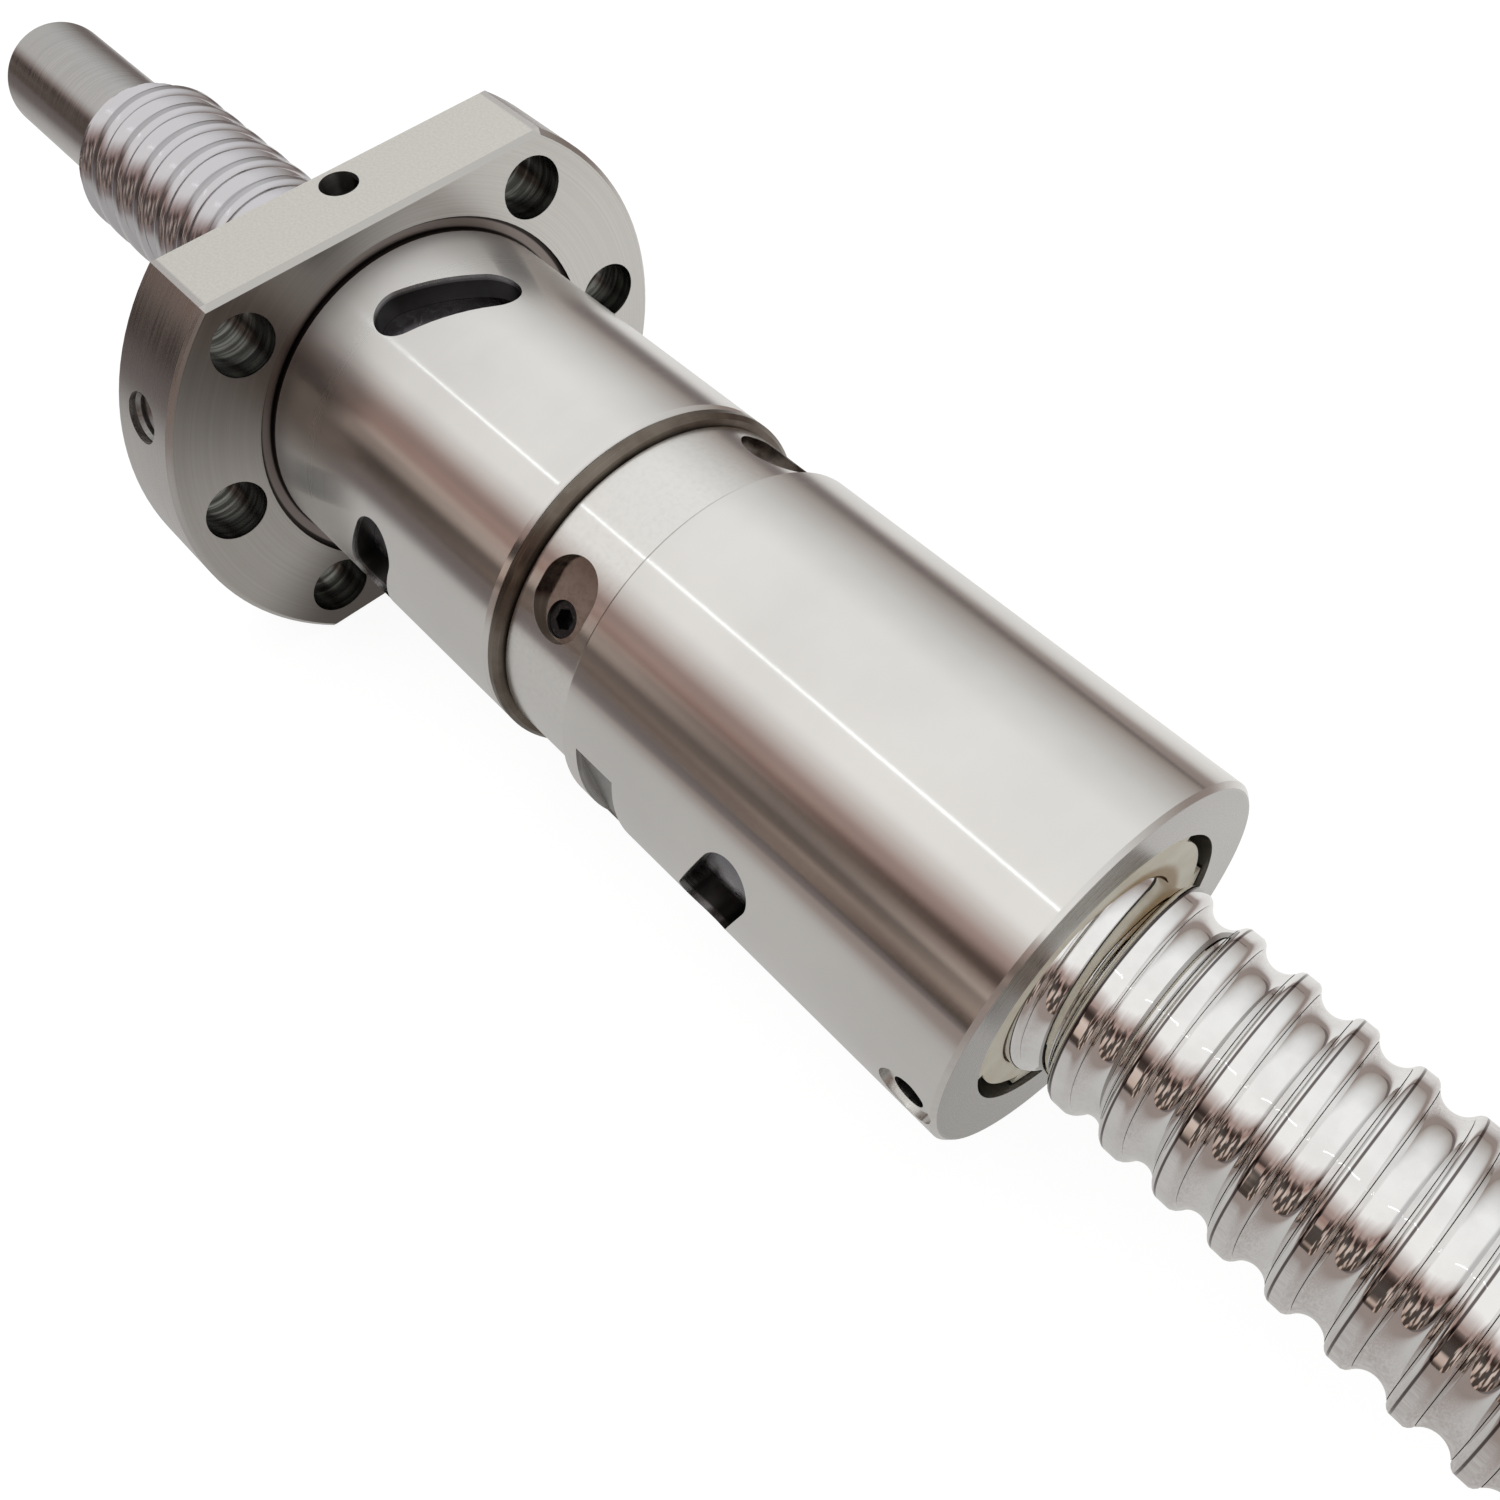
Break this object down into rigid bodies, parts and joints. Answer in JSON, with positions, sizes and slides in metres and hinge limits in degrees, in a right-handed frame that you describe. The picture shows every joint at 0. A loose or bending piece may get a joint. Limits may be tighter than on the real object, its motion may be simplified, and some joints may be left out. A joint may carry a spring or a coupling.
{
  "type": "ball screw nut",
  "caption": "Preloaded double ball nut with a flat-sided mounting flange, on a ground ball screw that turns and feeds through it.",
  "frame": {"origin": "centre of the flange's mounting face, on the screw's axis", "axes": "+X along the screw, from the flange towards the second nut; +Z square to the flange's upper flat; +Y along the flange's long side"},
  "size_m": [0.219, 0.058, 0.044],
  "materials": {
    "turned_steel": "turned and ground, satin",
    "ground_steel": "cylindrically ground, semi-gloss",
    "shim_steel": "dark ground, satin",
    "collar_steel": "fine ground",
    "key_steel": "ground",
    "screw_steel": "ground and polished thread",
    "insert_steel": "milled",
    "ball_steel": "polished",
    "black_oxide": "black oxide, satin",
    "wiper_plastic": "cream, matt"
  },
  "bodies": {
    "nut_assembly": {"flanged_nut": "turned_steel", "plain_nut": "ground_steel", "spacer_collar": "collar_steel", "locking_key": "key_steel", "rear_wiper": "wiper_plastic", "front_wiper": "wiper_plastic", "rear_wiper_screw": "black_oxide", "front_wiper_screw": "black_oxide", "collar_screw_1": "black_oxide", "collar_screw_2": "black_oxide", "collar_screw_3": "black_oxide", "collar_screw_4": "black_oxide", "return_insert_1": "insert_steel", "return_insert_2": "insert_steel", "return_insert_3": "insert_steel", "return_insert_4": "insert_steel", "return_insert_5": "insert_steel", "return_insert_6": "insert_steel", "ball_circuit_1": "ball_steel", "ball_circuit_2": "ball_steel", "ball_circuit_3": "ball_steel", "ball_circuit_4": "ball_steel", "ball_circuit_5": "ball_steel", "ball_circuit_6": "ball_steel"},
    "preload_ring": {"preload_shim": "shim_steel"},
    "screw": {"screw_shaft": "screw_steel"}
  },
  "joints": [
    {"name": "screw_spin", "type": "hinge", "parent": "nut_assembly", "child": "preload_ring", "pos_m": [0, 0, 0], "axis": [1, 0, 0], "range_deg": [-2881, 3457]},
    {"name": "screw_feed", "type": "slide", "parent": "preload_ring", "child": "screw", "axis": [1, 0, 0], "range_m": [-0.04, 0.048]}
  ],
  "couplings": [
    {"joint": "screw_spin", "follows": "screw_feed", "rad_per_m": 1256.6}
  ]
}
